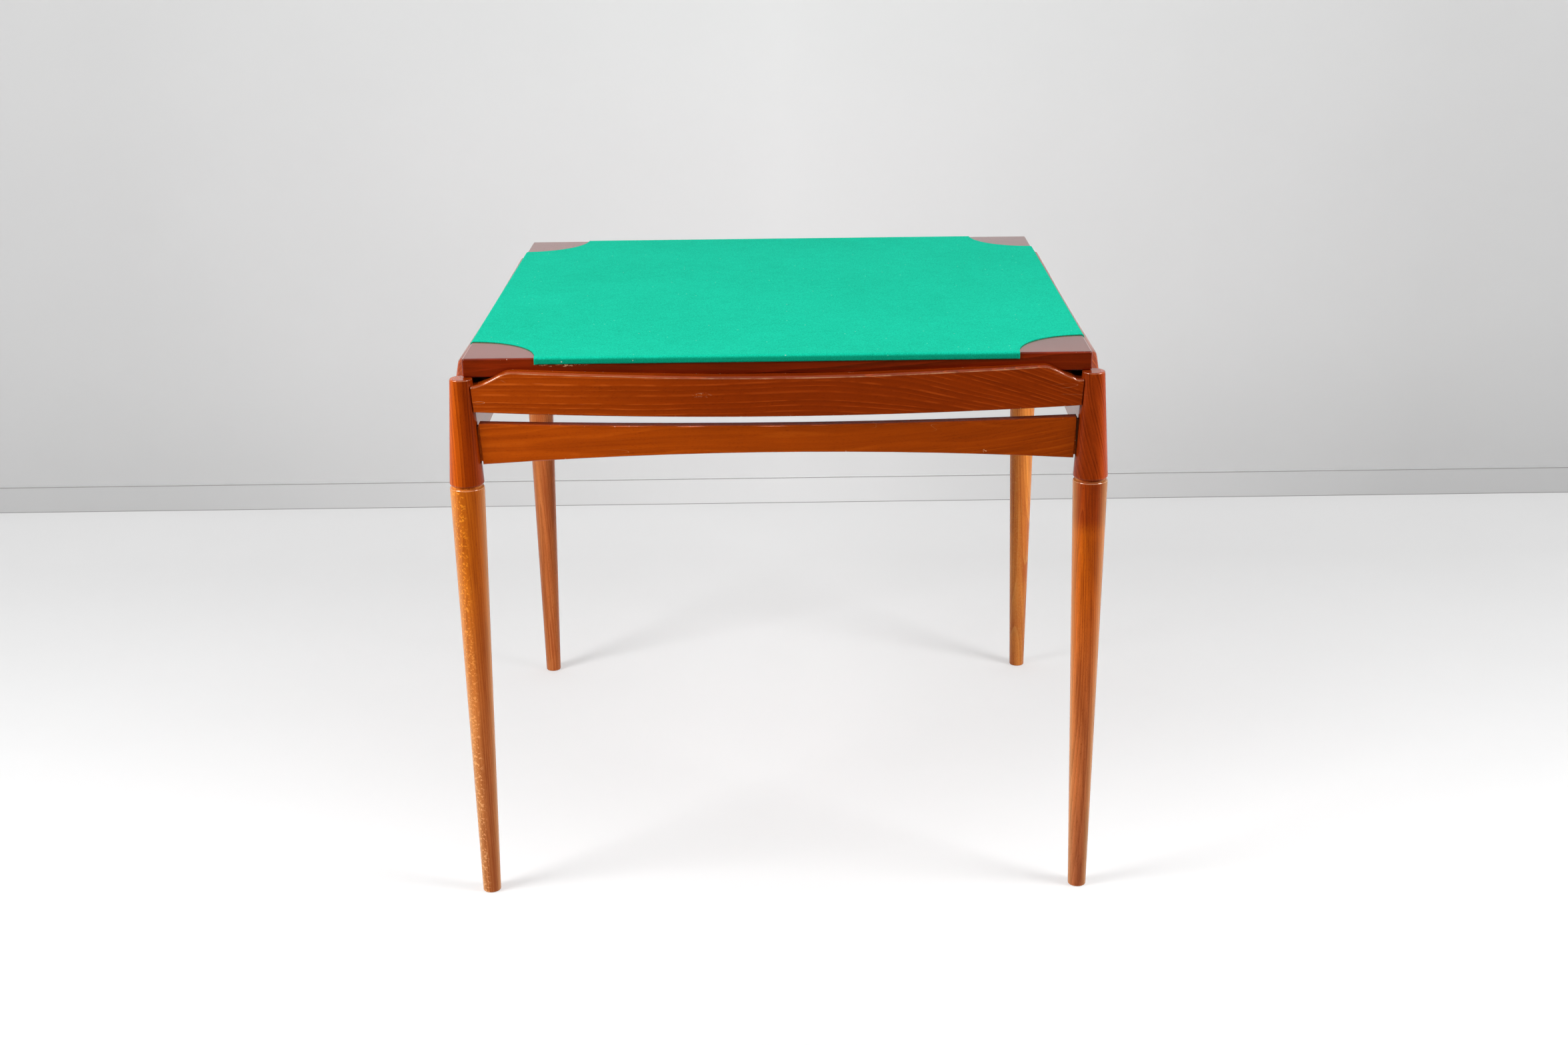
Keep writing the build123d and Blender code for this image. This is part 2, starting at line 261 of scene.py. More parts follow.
line_rise = ramp(timber, ring_place, 0.89, 0.95)
line_fall = ramp(timber, ring_place, 0.05, 0.15, 1.0, 0.0)
line_shape = sum_of(timber, "MAXIMUM", line_rise, line_fall)
line_noise = noise(timber, scaled(timber, grain, (26.0, 90.0, 90.0)), 1.0, 2.0, 0.6)
line_broken = ramp(timber, line_noise, 0.36, 0.62)
lines = sum_of(timber, "MULTIPLY", sum_of(timber, "MULTIPLY", line_shape, line_broken), ring_weight)

fibres = noise(timber, scaled(timber, swayed, (9.0, 520.0, 520.0)), 1.0, 3.0, 0.6)
broad_fibres = noise(timber, scaled(timber, swayed, (2.5, 95.0, 95.0)), 1.0, 2.0, 0.55)
fibre_mix = sum_of(timber, "ADD", sum_of(timber, "MULTIPLY", fibres, 0.55),
                   sum_of(timber, "MULTIPLY", broad_fibres, 0.6))
fibre_dark = ramp(timber, fibre_mix, 0.42, 0.74)
pore_noise = noise(timber, scaled(timber, grain, (260.0, 1500.0, 1500.0)), 1.0, 1.0, 0.4)
pores = ramp(timber, pore_noise, 0.60, 0.72)
ray_noise = noise(timber, scaled(timber, grain, (330.0, 260.0, 260.0)), 1.0, 1.0, 0.4, 0.6)
ray_band = ramp(timber, sum_of(timber, "ABSOLUTE", straight["Z"]), 0.013, 0.005)
rays = sum_of(timber, "MULTIPLY", ramp(timber, ray_noise, 0.56, 0.64), ray_band)
stain = noise(timber, scaled(timber, swayed, (5.0, 26.0, 26.0)), 1.0, 3.0, 0.6)
stain_dark = ramp(timber, stain, 0.35, 0.72)

darkness = sum_of(timber, "MULTIPLY", rings, given["Ring Strength"])
darkness = sum_of(timber, "MULTIPLY_ADD", fibre_dark, given["Fibre Strength"], darkness)
darkness = sum_of(timber, "MULTIPLY_ADD", stain_dark, given["Stain Strength"], darkness)
darkness = sum_of(timber, "MULTIPLY_ADD", pores, given["Pore Strength"], darkness)
paleness = sum_of(timber, "MULTIPLY", lines, given["Line Strength"])
paleness = sum_of(timber, "MULTIPLY_ADD", rays, given["Ray Strength"], paleness)
wood_colour = blend_colours(timber, darkness, given["Light Wood"], given["Dark Wood"])
wood_colour = blend_colours(timber, paleness, wood_colour, given["Pale Wood"])
timber.links.new(wood_colour, result["Color"])
timber.links.new(sum_of(timber, "MULTIPLY", fibre_mix, 0.12), result["Roughness Change"])
dips = sum_of(timber, "MULTIPLY_ADD", pores, -0.6, sum_of(timber, "MULTIPLY", fibres, 0.5))
timber.links.new(dips, result["Height"])
print("timber group nodes", len(timber.nodes))

# %% [markdown]
# ## Wear
# Lacquer rubs thin along arrises and chips there, showing paler wood, and broad faces pick up hair-fine
# scratches. The Bevel node rounds the normal near an edge, so where it departs from the true normal there
# is an edge. That works on the CAD meshes, whose triangles aren't joined, where Pointiness would not.

# %% Wear group
wear, given, result = new_group(
    "wear",
    [
        ("Vector", "Vector", None),
        ("Edge Width", "Float", 0.0015),
        ("Chips", "Float", 0.5),
        ("Scratches", "Float", 0.5),
        ("Scuff Place", "Vector", (0.0, 0.0, 9.0)),
        ("Scuff Reach", "Vector", (0.02, 0.02, 0.01)),
    ],
    [("Rubbed", "Float"), ("Chipped", "Float"), ("Scratched", "Float")],
)
rounded = add_node(wear, "ShaderNodeBevel", {"Radius": given["Edge Width"]}, samples=4)
true_normal = add_node(wear, "ShaderNodeNewGeometry").outputs["Normal"]
agreement = add_node(wear, "ShaderNodeVectorMath", {0: rounded.outputs[0], 1: true_normal},
                     operation="DOT_PRODUCT")
edge = ramp(wear, agreement.outputs["Value"], 0.995, 0.93)
patchy = ramp(wear, noise(wear, given["Vector"], 38.0, 3.0, 0.6), 0.42, 0.62)
wear.links.new(sum_of(wear, "MULTIPLY", edge, patchy), result["Rubbed"])
chip_noise = noise(wear, given["Vector"], 260.0, 1.0, 0.5)
chip_limit = sum_of(wear, "MULTIPLY_ADD", given["Chips"], -0.08, 0.78)
chips = sum_of(wear, "GREATER_THAN", chip_noise, chip_limit)
wear.links.new(sum_of(wear, "MULTIPLY", edge, chips), result["Chipped"])
scratch_field = noise(wear, scaled(wear, given["Vector"], (10.0, 10.0, 55.0)), 1.0, 1.0, 0.5, 0.2)
scratch_line = sum_of(wear, "ABSOLUTE", sum_of(wear, "SUBTRACT", scratch_field, 0.5))
scratch_line = ramp(wear, scratch_line, 0.0022, 0.0, 0.0, 1.0, "LINEAR")
scratch_where = ramp(wear, noise(wear, given["Vector"], 17.0, 2.0, 0.5), 0.64, 0.72)
scratch = sum_of(wear, "MULTIPLY", scratch_line, scratch_where)
scratch = sum_of(wear, "MULTIPLY", scratch, given["Scratches"])
from_scuff = vector_sum(wear, "SUBTRACT", given["Vector"], given["Scuff Place"])
in_reach = vector_sum(wear, "DIVIDE", from_scuff, given["Scuff Reach"])
scuff_distance = add_node(wear, "ShaderNodeVectorMath", {0: in_reach}, operation="LENGTH")
scuff_where = ramp(wear, scuff_distance.outputs["Value"], 1.0, 0.6)
scuff_field = noise(wear, scaled(wear, given["Vector"], (60.0, 60.0, 240.0)), 1.0, 2.0, 0.6, 0.4)
scuff_line = sum_of(wear, "ABSOLUTE", sum_of(wear, "SUBTRACT", scuff_field, 0.5))
scuff_line = ramp(wear, scuff_line, 0.085, 0.030)
scuff_broken = ramp(wear, noise(wear, given["Vector"], 420.0, 1.0, 0.5), 0.44, 0.54)
scuff = sum_of(wear, "MULTIPLY", sum_of(wear, "MULTIPLY", scuff_line, scuff_broken), scuff_where)
wear.links.new(sum_of(wear, "MAXIMUM", scratch, scuff), result["Scratched"])
print("wear group nodes", len(wear.nodes))

# %% [markdown]
# ## Lacquered wood
# The rails, heads and legs are stained beech under glossy lacquer. The stain varies from piece to piece
# on the real table, so one function makes the material and every piece has its own colours and its own
# cut from the tree. Lacquer gathers on arrises that are rounded upwards and glints there, so the clear
# coat is thick on them, thin on flat tops and almost nothing on upright faces, where the wood's own
# tinted gloss does. Drifts darken or tint a piece towards one end or side: along X they are painted
# shade, where the piece gets less lamp light, and along Z they change a leg's colour. Turned wood gets a
# painted sheen, a paler colour where it is seen slantwise, arrises that turn up get a painted highlight
# in patches, and the open joints are darkened with painted shade.

# %% Lacquered wood material
GRAIN_ALONG_X = (0.0, 0.0, 0.0)
GRAIN_ALONG_Y = (0.0, 0.0, math.radians(-90))
GRAIN_ALONG_Z = (0.0, math.radians(90), 0.0)
# Painted shade for the open joints, then the colours of a painted sheen and a painted highlight.
JOINT_SHADE = (0.012, 0.006, 0.004, 1.0)
EDGE_SHEEN_COLOUR = (1.0, 0.56, 0.17, 1.0)
ARRIS_HIGHLIGHT = (0.95, 0.54, 0.28, 1.0)
CHIPPED_WOOD = (0.78, 0.58, 0.42, 1.0)
SCRATCHED_LACQUER = (0.85, 0.52, 0.28, 1.0)
TIMBER_INPUTS = {"rings": "Ring Strength", "lines": "Line Strength", "spacing": "Ring Spacing",
                 "bow": "Bow", "bow_start": "Bow Start", "wander": "Wander", "fibres": "Fibre Strength",
                 "pores": "Pore Strength", "rays": "Ray Strength", "stain": "Stain Strength"}


def brighter(colour, share):
    """A colour made brighter by a share, as an RGBA value."""
    return (*[min(1.0, part * share) for part in colour], 1.0)


def pale_lines(light):
    """The colour of a wood's pale lines and ray flecks."""
    return (min(1.0, light[0] * 1.45), light[1] * 1.9, light[2] * 2.6 + 0.004, 1.0)


def lacquered_wood(name, light, dark, grain_turn, pith, tilt=(0.0, 0.0), gloss=0.10,
                   gloss_tint=(1.0, 0.20, 0.02), coat=0.02, coat_above=0.9, coat_on_top=0.22,
                   chips=0.5, scratches=0.3, scuff=None, drifts=(), pale_edge=0.0, arris_highlight=0.0,
                   shaded_joint_reach=None, **grain_values):
    """A lacquered wood.

    Pith is where the tree's middle passes, in the grain's axes, and tilt leans it there. A drift is an
    axis, a tint, and where along that axis the tint starts and is whole. The coat is given for upright
    faces, for arrises that turn up, and for flat tops."""
    material, tree, shader = new_material(name)
    coordinates = add_node(tree, "ShaderNodeTexCoord").outputs
    place = coordinates["Object"]
    onto_grain = add_node(tree, "ShaderNodeMapping",
                          {"Vector": place, "Rotation": grain_turn, "Location": pith})
    cut = add_node(tree, "ShaderNodeMapping", {"Vector": onto_grain.outputs[0], "Rotation": (0.0, *tilt)})
    wood = add_node(tree, "ShaderNodeGroup", node_tree=timber)
    tree.links.new(cut.outputs[0], wood.inputs["Vector"])
    wood.inputs["Light Wood"].default_value = (*light, 1.0)
    wood.inputs["Dark Wood"].default_value = (*dark, 1.0)
    wood.inputs["Pale Wood"].default_value = pale_lines(light)
    for word, value in grain_values.items():
        wood.inputs[TIMBER_INPUTS[word]].default_value = value
    worn = add_node(tree, "ShaderNodeGroup", node_tree=wear)
    tree.links.new(place, worn.inputs["Vector"])
    worn.inputs["Scratches"].default_value = scratches
    worn.inputs["Chips"].default_value = chips
    if scuff:
        worn.inputs["Scuff Place"].default_value = scuff[0]
        worn.inputs["Scuff Reach"].default_value = scuff[1]
    colour = wood.outputs["Color"]
    for axis, tint, start, whole in drifts:
        drifted = ramp(tree, part_of(tree, place, axis), start, whole)
        colour = blend_colours(tree, drifted, colour, (*tint, 1.0), "MULTIPLY")
    # Painted sheen: the colour turns paler where the surface is seen slantwise.
    if pale_edge:
        turned_away = add_node(tree, "ShaderNodeLayerWeight").outputs["Facing"]
        sheen_share = ramp(tree, turned_away, 0.10, 0.65, 0.0, pale_edge)
        colour = blend_colours(tree, sheen_share, colour, EDGE_SHEEN_COLOUR)
    # Painted shade: past the shoulder, inside the open joint, the piece is darkened.
    if shaded_joint_reach:
        past_middle = sum_of(tree, "ABSOLUTE", part_of(tree, cut.outputs[0], "X"))
        joint_shade_share = ramp(tree, past_middle, shaded_joint_reach - 0.5 * MM, shaded_joint_reach + 1.0 * MM)
        colour = blend_colours(tree, joint_shade_share, colour, JOINT_SHADE)
    facing_up = part_of(tree, coordinates["Normal"], "Z")
    # Painted highlight: a pale band, broken into patches, on arrises that are rounded upwards.
    if arris_highlight:
        on_arris_highlight = sum_of(tree, "MULTIPLY", ramp(tree, facing_up, 0.20, 0.35),
                          ramp(tree, facing_up, 0.45, 0.60, 1.0, 0.0))
        highlight_patches = ramp(tree, noise(tree, place, 45.0, 2.0, 0.6), 0.38, 0.62, 0.35 * arris_highlight, arris_highlight)
        colour = blend_colours(tree, sum_of(tree, "MULTIPLY", on_arris_highlight, highlight_patches), colour, ARRIS_HIGHLIGHT)
    rubbed_share = sum_of(tree, "MULTIPLY", worn.outputs["Rubbed"], 0.35)
    rubbed = blend_colours(tree, rubbed_share, colour, brighter(light, 1.6))
    scratched = blend_colours(tree, worn.outputs["Scratched"], rubbed, SCRATCHED_LACQUER)
    chipped = blend_colours(tree, worn.outputs["Chipped"], scratched, CHIPPED_WOOD)
    tree.links.new(chipped, shader.inputs["Base Color"])
    dullness = sum_of(tree, "ADD", wood.outputs["Roughness Change"], gloss)
    tree.links.new(dullness, shader.inputs["Roughness"])
    bump = add_node(tree, "ShaderNodeBump",
                    {"Strength": 0.10, "Distance": 0.3 * MM, "Height": wood.outputs["Height"]})
    tree.links.new(bump.outputs[0], shader.inputs["Normal"])
    shader.inputs["Specular Tint"].default_value = (*gloss_tint, 1.0)
    round_coat = ramp(tree, facing_up, 0.05, 0.35, coat, coat_above)
    flat_share = ramp(tree, facing_up, 0.85, 0.98)
    coat_off_top = sum_of(tree, "MULTIPLY", round_coat, sum_of(tree, "SUBTRACT", 1.0, flat_share))
    coat_weight = sum_of(tree, "ADD", coat_off_top, sum_of(tree, "MULTIPLY", flat_share, coat_on_top))
    tree.links.new(coat_weight, shader.inputs["Coat Weight"])
    shader.inputs["Coat Roughness"].default_value = 0.07
    shader.inputs["Coat IOR"].default_value = 1.6
    return material


print("lacquered wood ready")

# %% [markdown]
# ## Finish the rails
# Each rail is sawn along the grain, so its lines run the rail's length. The front upper rail's lines
# sweep down towards its right end, where the tree bent, so its grain is bowed from near its middle on.
# The lower rails are quieter. The front rails are darkened towards their right ends with painted shade,
# so they are paler at their left ends.

# %% Rail materials
RAIL_LIGHT = (0.42, 0.058, 0.002)
RAIL_DARK = (0.18, 0.020, 0.001)
LOWER_RAIL_LIGHT = (0.49, 0.074, 0.002)
LOWER_RAIL_DARK = (0.22, 0.026, 0.001)
RAIL_OUTER_FACE = 0.405
RAIL_TURNS = {"front": GRAIN_ALONG_X, "back": GRAIN_ALONG_X,
              "left": GRAIN_ALONG_Y, "right": GRAIN_ALONG_Y}
RAIL_BOWS = {"front": (0.62, 0.02), "right": (0.10, 0.0), "back": (-0.15, -0.2), "left": (0.22, 0.05)}
LOWER_SHOULDER = 0.3925
# Painted shade: the front rails darken towards their right ends, as if less lit there.
UPPER_SHADE_DRIFT = ("X", (0.62, 0.48, 0.5), -0.38, -0.02)
LOWER_SHADE_DRIFT = ("X", (0.66, 0.60, 0.6), -0.38, 0.38)
UPPER_SCUFF = ((-0.0980, -0.405, 0.7220), (0.026, 0.03, 0.0075))
LOWER_DENT = ((0.2723, -0.40, 0.6402), (0.0050, 0.03, 0.0042))


def finish_node(node_name, material):
    """Puts one material on every face of a CAD node."""
    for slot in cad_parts[node_name].material_slots:
        slot.material = material


def pith_behind(side, inward, height):
    """Where the tree's middle passes behind a rail's outer face, in the grain's axes."""
    reach = RAIL_OUTER_FACE - inward
    across = {"front": reach, "back": -reach, "left": -reach, "right": reach}[side]
    return (0.0, across, -height)


for side in SIDES:
    bow, bow_start = RAIL_BOWS[side]
    upper_marks_and_shade = dict(scuff=UPPER_SCUFF, drifts=[UPPER_SHADE_DRIFT]) if side == "front" else {}
    lower_marks_and_shade = dict(scuff=LOWER_DENT, drifts=[LOWER_SHADE_DRIFT]) if side == "front" else {}
    upper = lacquered_wood(
        "upper_rail_wood_" + side, RAIL_LIGHT, RAIL_DARK, RAIL_TURNS[side],
        pith_behind(side, 0.16, 0.58), (0.0, 0.02), rings=0.34, lines=0.95, spacing=0.0046, bow=bow,
        bow_start=bow_start, wander=0.013, fibres=0.20, pores=0.30, stain=0.18, scratches=0.6,
        chips=1.2, arris_highlight=0.32, **upper_marks_and_shade)
    lower = lacquered_wood(
        "lower_rail_wood_" + side, LOWER_RAIL_LIGHT, LOWER_RAIL_DARK, RAIL_TURNS[side],
        pith_behind(side, 0.10, 0.66), (0.02, 0.01), rings=0.34, lines=0.40, spacing=0.0030,
        bow=-bow * 0.5, bow_start=bow_start, wander=0.015, fibres=0.32, pores=0.30, stain=0.22,
        chips=0.1, coat_above=0.3, coat_on_top=0.05, shaded_joint_reach=LOWER_SHOULDER, **lower_marks_and_shade)
    finish_node("upper_rail_" + side, upper)
    finish_node("lower_rail_" + side, lower)
print("rails finished", len(SIDES) * 2)

# %% [markdown]
# ## Finish the legs
# A leg's head and its lower leg were turned from different blanks and took the stain differently: on
# the real table one lower leg is honey-coloured with clear ray flecks and the others are redder. The
# tree's middle leans through each blank, which gives the nested arches of turned wood. Each piece is
# darkened on one side with painted shade, and some grow darker or redder towards their tops or feet.

# %% Leg and head materials
LEG_GLOSS_TINT = (1.0, 0.30, 0.06)
LEG_WOODS = {
    "front_left": dict(light=(0.74, 0.262, 0.074), dark=(0.44, 0.122, 0.032), rays=0.7, pale_edge=0.26),
    "front_right": dict(light=(0.80, 0.230, 0.064), dark=(0.38, 0.086, 0.022), rays=0.0, pale_edge=0.28),
    "back_left": dict(light=(0.80, 0.245, 0.066), dark=(0.48, 0.108, 0.028), rays=0.0, pale_edge=0.04),
    "back_right": dict(light=(1.0, 0.360, 0.066), dark=(0.64, 0.160, 0.032), rays=0.1, pale_edge=0.04),
}
LEG_CUTS = {
    "front_left": ((0.0, 0.05), 0.03),
    "front_right": ((0.02, 0.06), 0.01),
    "back_left": ((0.05, 0.02), 0.025),
    "back_right": ((0.06, 0.03), 0.0),
}
# Painted shade: the X drifts darken each leg on one side. The Z drifts only change its colour.
LEG_SHADE_AND_TINT_DRIFTS = {
    "front_left": [("X", (0.73, 0.60, 0.62), -0.010, 0.008), ("Z", (0.97, 0.67, 0.09), 0.10, 0.52)],
    "front_right": [("X", (0.74, 0.67, 0.68), -0.010, 0.002), ("Z", (0.98, 0.66, 0.08), 0.18, 0.48),
                    ("Z", (0.62, 0.38, 0.5), 0.522, 0.550), ("Z", (0.74, 0.74, 0.95), 0.20, 0.02)],
    "back_left": [("X", (0.72, 0.72, 0.72), 0.004, -0.012)],
    "back_right": [("X", (0.88, 0.88, 0.95), 0.004, -0.012), ("Z", (0.74, 0.72, 0.85), 0.30, 0.04)],
}
HEAD_WOODS = {
    "front_left": dict(light=(0.72, 0.125, 0.004), dark=(0.28, 0.032, 0.001), tilt=(0.05, -0.08)),
    "front_right": dict(light=(0.53, 0.068, 0.005), dark=(0.20, 0.018, 0.001), tilt=(0.22, 0.10)),
    "back_left": dict(light=(0.48, 0.068, 0.004), dark=(0.22, 0.020, 0.001), tilt=(0.12, 0.05)),
    "back_right": dict(light=(0.50, 0.072, 0.004), dark=(0.24, 0.022, 0.001), tilt=(-0.10, 0.08)),
}
# Painted shade: each head darkens towards one side.
HEAD_SHADE_DRIFTS = {
    "front_left": [("X", (0.44, 0.29, 0.35), -0.015, 0.007)],
    "front_right": [("X", (0.55, 0.50, 0.6), 0.015, 0.001)],
    "back_left": [("X", (0.6, 0.5, 0.5), -0.012, 0.010)],
    "back_right": [("X", (0.6, 0.5, 0.5), 0.012, -0.010)],
}


def placed(drifts, middle):
    """Drifts given from a leg's own middle, moved to where the leg stands."""
    shift = {"X": middle.x, "Z": 0.0}
    return [(axis, tint, start + shift[axis], whole + shift[axis])
            for axis, tint, start, whole in drifts]


for corner in CORNERS:
    low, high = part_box("leg_" + corner)
    middle = (low + high) / 2
    tilt, off = LEG_CUTS[corner]
    leg = lacquered_wood(
        "leg_wood_" + corner, grain_turn=GRAIN_ALONG_Z, pith=(-0.30, -middle.y + off, middle.x - 0.01),
        gloss_tint=LEG_GLOSS_TINT, rings=0.45, lines=0.15, spacing=0.0034, wander=0.010, fibres=0.55,
        pores=0.4, stain=0.50, arris_highlight=0.5, tilt=tilt, drifts=placed(LEG_SHADE_AND_TINT_DRIFTS[corner], middle),
        **LEG_WOODS[corner])
    head_low, head_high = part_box("leg_head_" + corner)
    head_middle = (head_low + head_high) / 2
    head = lacquered_wood(
        "head_wood_" + corner, grain_turn=GRAIN_ALONG_Z,
        pith=(-0.64, -middle.y + 0.01, middle.x + 0.02), rings=0.50, lines=0.20, spacing=0.0042,
        wander=0.008, fibres=0.22, pores=0.3, stain=0.35, arris_highlight=0.3,
        drifts=placed(HEAD_SHADE_DRIFTS[corner], head_middle), **HEAD_WOODS[corner])
    finish_node("leg_" + corner, leg)
    finish_node("leg_head_" + corner, head)
print("legs finished", len(CORNERS))

# %% [markdown]
# ## Finish the board
# The loose board is darker and redder than the frame, with a veneer on both faces and lippings round its
# edge. Its veneers and front and back lippings darken towards the right with painted shade. Its core
# never shows, but it still gets a plain pale wood. The corner blocks under it are coloured nearly black
# as painted shade, so the gap beside each leg head reads as a dark opening.

# %% Board materials
BOARD_LIGHT = (0.265, 0.021, 0.002)
BOARD_DARK = (0.10, 0.008, 0.001)
BOARD_SCUFF = ((-0.280, -0.4115, 0.7614), (0.040, 0.03, 0.0035))
# Painted shade: the board darkens towards its right end.
BOARD_SHADE_DRIFT = ("X", (0.75, 0.7, 0.7), -0.38, 0.0)
BOARD_CUT = dict(light=BOARD_LIGHT, dark=BOARD_DARK, pith=(0.0, 0.1, -0.60), tilt=(0.01, 0.02),
                 spacing=0.006, wander=0.03, gloss=0.12, coat_on_top=0.4)
BARE_WOOD = dict(rings=0.3, gloss=0.5, coat=0.0, coat_above=0.0, coat_on_top=0.0)
board_x = lacquered_wood("board_wood_along_x", grain_turn=GRAIN_ALONG_X, rings=0.6, fibres=0.4,
                         scuff=BOARD_SCUFF, drifts=[BOARD_SHADE_DRIFT], **BOARD_CUT)
board_y = lacquered_wood("board_wood_along_y", grain_turn=GRAIN_ALONG_Y, rings=0.4, **BOARD_CUT)
core = lacquered_wood("core_wood", (0.55, 0.33, 0.14), (0.36, 0.18, 0.06), GRAIN_ALONG_X,
                      (0.4, 0.0, -0.70), **BARE_WOOD)
# Painted shade: the corner blocks are coloured nearly black.
block_shade_wood = lacquered_wood("corner_block_shade_wood", (0.035, 0.014, 0.006), (0.012, 0.005, 0.002),
                            GRAIN_ALONG_X, (0.2, 0.0, -0.60), **BARE_WOOD)
for corner in CORNERS:
    finish_node("corner_block_" + corner, block_shade_wood)
for node_name in ("veneer_playing_side", "veneer_reverse_side", "lipping_front", "lipping_back"):
    finish_node(node_name, board_x)
for node_name in ("lipping_left", "lipping_right"):
    finish_node(node_name, board_y)
finish_node("board_core", core)
print("board finished")

# %% [markdown]
# ## Baize
# The baize is one square of woollen cloth, glued over the board and turned down over its edges, with a
# quarter circle cut away at each corner so that it needs no fold there. It is made the same way: a flat
# grid is cut, and then its margins are rolled over the board's rounded edge. A simulation would only
# find the same taut sheet. Solidify gives the thickness of the cloth.

# %% Cut and fold the baize
BOARD_HALF = 411.5 * MM
BOARD_TOP = 770.0 * MM
BOARD_EDGE_RADIUS = 2.5 * MM
CLOTH_THICKNESS = 1.5 * MM
CLOTH_HANG = 5.7 * MM
CORNER_CUT = 94.5 * MM
CUT_MARGIN = 4 * MM
CUT_START = BOARD_HALF - CORNER_CUT
fold_start = BOARD_HALF - BOARD_EDGE_RADIUS
fold_radius = BOARD_EDGE_RADIUS + CLOTH_THICKNESS / 2
fold_run = fold_radius * math.pi / 2
flat_half = fold_start + fold_run + CLOTH_HANG
COARSE_CELLS, FINE_CELLS, FOLD_CELLS, HANG_CELLS = 40, 36, 6, 4
coarse_end = CUT_START - 15 * MM
half_cells = COARSE_CELLS + FINE_CELLS + FOLD_CELLS + HANG_CELLS


def even_steps(start, end, count):
    """Places after the start, evenly spaced up to the end."""
    return [start + (end - start) * (step + 1) / count for step in range(count)]


line_places = [0.0]
line_places += even_steps(0.0, coarse_end, COARSE_CELLS)
line_places += even_steps(coarse_end, fold_start, FINE_CELLS)
line_places += even_steps(fold_start, fold_start + fold_run, FOLD_CELLS)
line_places += even_steps(fold_start + fold_run, flat_half, HANG_CELLS)


def regrade(value):
    """Moves an evenly spaced grid line to its own place, closer together where the cloth bends."""
    index = round(abs(value) * half_cells)
    return math.copysign(line_places[index], value)


def inside_corner_cut(point):
    """Whether a point of the flat cloth lies in the piece cut from a corner."""
    u = BOARD_HALF - min(abs(point.x), BOARD_HALF)
    v = BOARD_HALF - min(abs(point.y), BOARD_HALF)
    return math.hypot(u, v) < CORNER_CUT


def onto_corner_cut(point):
    """Moves a point next to the cut onto its curve."""
    u = BOARD_HALF - min(abs(point.x), BOARD_HALF)
    v = BOARD_HALF - min(abs(point.y), BOARD_HALF)
    reach = math.hypot(u, v)
    if u > 0:
        point.x = math.copysign(BOARD_HALF - u * CORNER_CUT / reach, point.x)
    if v > 0:
        point.y = math.copysign(BOARD_HALF - v * CORNER_CUT / reach, point.y)


cloth = bmesh.new()
bmesh.ops.create_grid(cloth, x_segments=half_cells * 2, y_segments=half_cells * 2, size=1.0)
for vert in cloth.verts:
    vert.co.x = regrade(vert.co.x)
    vert.co.y = regrade(vert.co.y)
cut_away = [face for face in cloth.faces if inside_corner_cut(face.calc_center_median())]
bmesh.ops.delete(cloth, geom=cut_away, context="FACES")
for vert in cloth.verts:
    on_outline = max(abs(vert.co.x), abs(vert.co.y)) > flat_half - 0.01 * MM
    if vert.is_boundary and not on_outline:
        onto_corner_cut(vert.co)
    elif vert.is_boundary and min(abs(vert.co.x), abs(vert.co.y)) > CUT_START - CUT_MARGIN:
        onto_corner_cut(vert.co)
cloth_area = sum(face.calc_area() for face in cloth.faces)
print("baize flat size", round(flat_half * 2, 4), "area", round(cloth_area, 4))


# %% [markdown]
# The margins roll over a rounded edge and hang straight below it. Only one of a point's two places can
# lie in a margin, because the corners are gone, so each margin folds by itself.

# %% Roll the margins
def folded(reach):
    """Where a flat distance from the middle ends up: sideways and below the cloth's middle surface."""
    past = reach - fold_start
    if past <= 0:
        return reach, 0.0
    if past < fold_run:
        angle = past / fold_radius
        return fold_start + fold_radius * math.sin(angle), fold_radius * (1 - math.cos(angle))
    return fold_start + fold_radius, fold_radius + past - fold_run


for vert in cloth.verts:
    x, x_drop = folded(abs(vert.co.x))
    y, y_drop = folded(abs(vert.co.y))
    vert.co.x = math.copysign(x, vert.co.x)
    vert.co.y = math.copysign(y, vert.co.y)
    vert.co.z = BOARD_TOP + CLOTH_THICKNESS / 2 - x_drop - y_drop
baize = make_object("baize", cloth)
thickness = baize.modifiers.new("cloth_thickness", "SOLIDIFY")
thickness.thickness = CLOTH_THICKNESS
thickness.offset = 0.0
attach(baize, "board")
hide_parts("playing_cloth")

# %% [markdown]
# ## Baize cloth finish
# Baize is felted wool: no weave shows, only a soft nap, a faint mottle and a few pale specks of lint. A
# little sheen brightens it at low angles, and the margin that hangs over the edge is darkened with
# painted shade.

# %% Baize material
DARK_BAIZE = (0.001, 0.375, 0.225, 1.0)
LIGHT_BAIZE = (0.009, 0.665, 0.435, 1.0)
HANGING_SHADE = (0.3, 0.60, 0.55, 1.0)
LINT = (0.62, 0.86, 0.74, 1.0)
SHEEN_TINT = (0.1, 1.0, 0.7, 1.0)
baize_finish, tree, shader = new_material("baize_cloth")
place = add_node(tree, "ShaderNodeTexCoord").outputs["Object"]
nap = noise(tree, place, 2600.0, 2.0, 0.6)
tufts = noise(tree, place, 620.0, 2.0, 0.55)
mottle = noise(tree, place, 45.0, 3.0, 0.6)
patches = noise(tree, place, 6.0, 2.0, 0.5)
shade = sum_of(tree, "MULTIPLY", nap, 0.40)
shade = sum_of(tree, "ADD", shade, sum_of(tree, "MULTIPLY", tufts, 0.45))
shade = sum_of(tree, "MULTIPLY_ADD", mottle, 0.08, shade)
shade = sum_of(tree, "MULTIPLY_ADD", patches, 0.07, shade)
green = blend_colours(tree, ramp(tree, shade, 0.32, 0.68), DARK_BAIZE, LIGHT_BAIZE)
